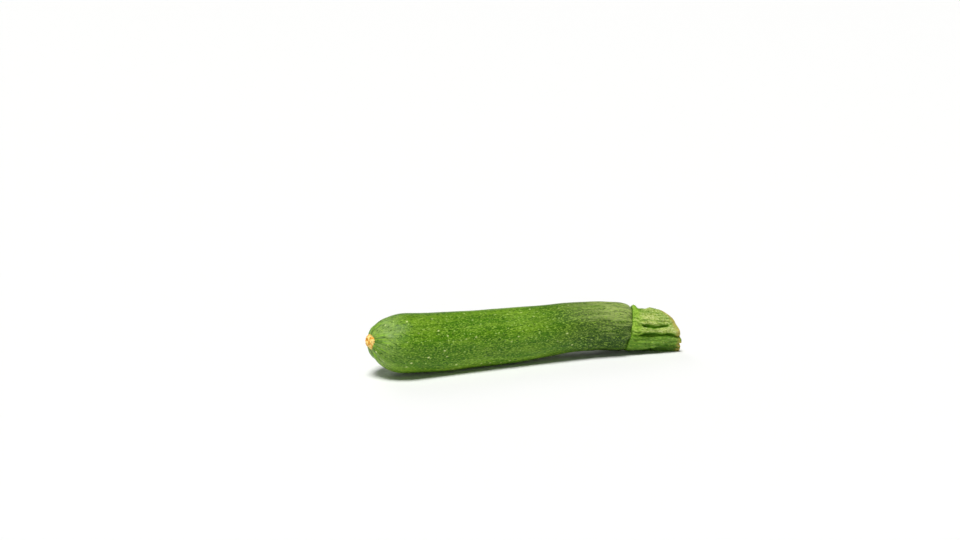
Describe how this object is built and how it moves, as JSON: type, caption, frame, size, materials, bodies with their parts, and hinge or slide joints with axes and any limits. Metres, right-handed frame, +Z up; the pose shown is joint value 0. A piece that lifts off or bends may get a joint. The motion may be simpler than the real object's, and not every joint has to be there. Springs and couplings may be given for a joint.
{
  "type": "courgette",
  "caption": "Whole green courgette lying on its belly: a speckled, gently bent fruit with a ribbed cut stem and a corky blossom scar.",
  "frame": {"origin": "bottom centre of the courgette's own box, on the surface that it lies on", "axes": "+X from the blossom end to the cut stem, +Z up from the surface that it lies on"},
  "size_m": [0.2046, 0.0386, 0.0385],
  "materials": {
    "skin": "smooth waxy green skin with fine pale speckles and faint lengthwise streaks",
    "stem": "fibrous light green stalk, ribbed and finely bristled, matt",
    "cork": "dry cracked cork, tan to orange"
  },
  "bodies": {
    "root": {"fruit": "skin", "stem": "stem", "blossom_scar": "cork"}
  },
  "joints": []
}
